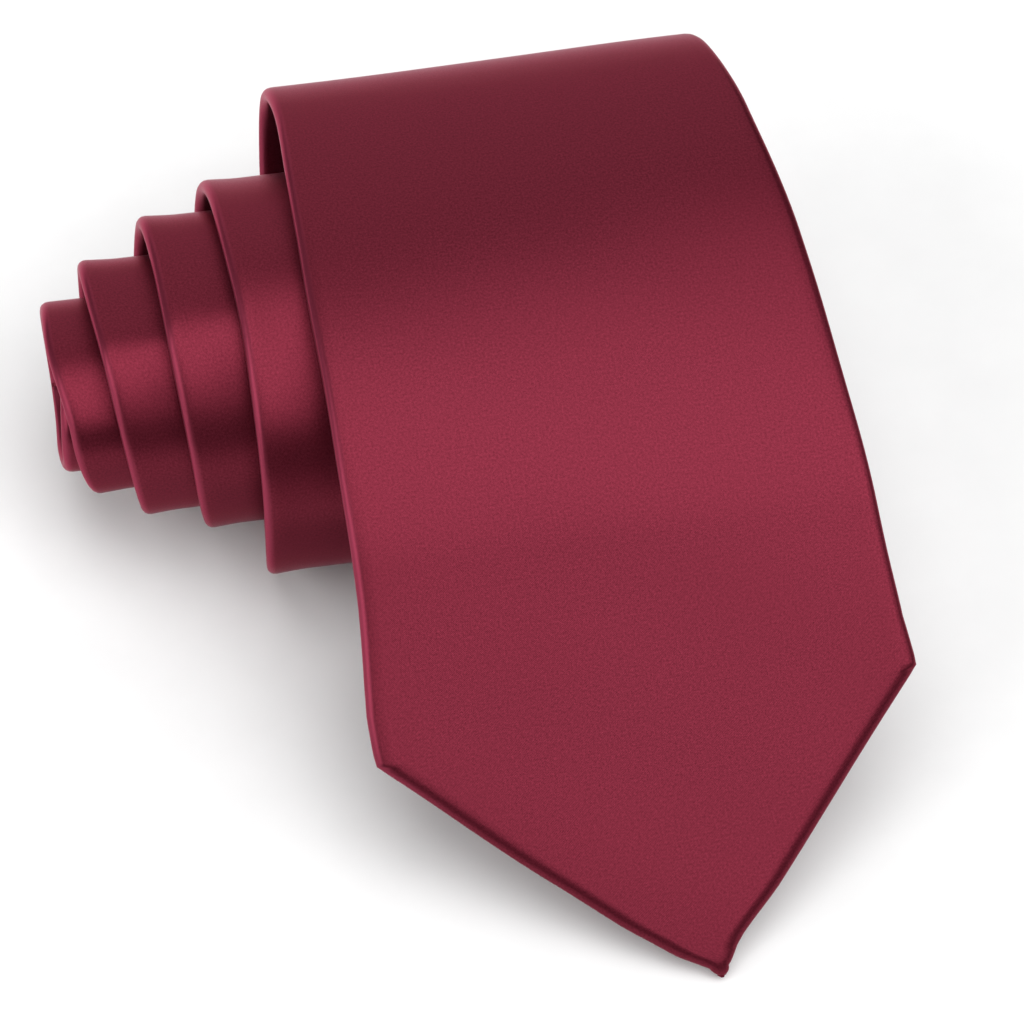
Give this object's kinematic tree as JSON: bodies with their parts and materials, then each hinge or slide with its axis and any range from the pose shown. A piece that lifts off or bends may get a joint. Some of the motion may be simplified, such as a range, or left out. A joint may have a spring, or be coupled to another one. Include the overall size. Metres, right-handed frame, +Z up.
{
  "type": "rolled necktie",
  "caption": "Satin necktie rolled from its narrow end, face outwards, its wide pointed blade sloping from the roll down to the surface.",
  "frame": {"origin": "middle of the footprint, on the surface the tie rests on", "axes": "+X along the axis of the roll, +Y from the point of the blade towards the roll, +Z up"},
  "size_m": [0.1251, 0.1504, 0.0571],
  "materials": {
    "self_fabric": "burgundy satin, fine diagonal grain",
    "wool_interlining": "brushed wool, off-white",
    "tipping_lining": "plain lining, dark burgundy",
    "sewing_thread": "matt burgundy thread",
    "label_weave": "plain woven tape, no text"
  },
  "bodies": {
    "root": {"blade_shell": "self_fabric", "neck_shell": "self_fabric", "tail_shell": "self_fabric", "blade_piecing_seam": "sewing_thread", "tail_piecing_seam": "sewing_thread", "interlining": "wool_interlining", "blade_tipping": "tipping_lining", "tail_tipping": "tipping_lining", "blade_tipping_seam": "sewing_thread", "tail_tipping_seam": "sewing_thread", "slip_stitch": "sewing_thread", "blade_bar_tack": "sewing_thread", "tail_bar_tack": "sewing_thread", "keeper_loop": "self_fabric", "keeper_stitches": "sewing_thread", "label": "label_weave", "label_stitches": "sewing_thread"}
  },
  "joints": []
}
